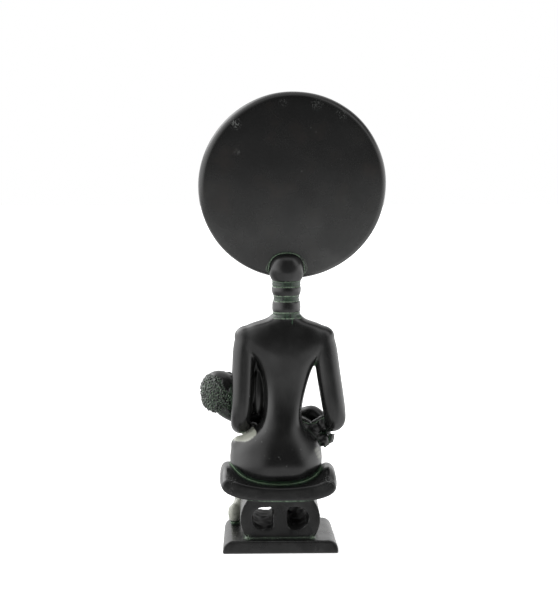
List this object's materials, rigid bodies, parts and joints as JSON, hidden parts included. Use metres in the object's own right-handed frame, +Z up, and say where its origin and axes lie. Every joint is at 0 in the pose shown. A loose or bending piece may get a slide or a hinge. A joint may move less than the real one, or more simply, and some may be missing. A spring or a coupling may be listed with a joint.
{
  "type": "akuaba figure",
  "caption": "Cast figure of a seated mother and child with a round, flat akuaba head, in one piece with its stool. It stands on a shelf or table.",
  "frame": {"origin": "middle of the underside of the stool's base", "axes": "+Z up, -Y towards the figure's front and face, +X towards the figure's left hand and the child's head"},
  "size_m": [0.1131, 0.0633, 0.2776],
  "materials": {
    "black_resin": "satin black casting with a green wash left in its creases"
  },
  "bodies": {
    "root": {"akuaba_figure": "black_resin"}
  },
  "joints": []
}
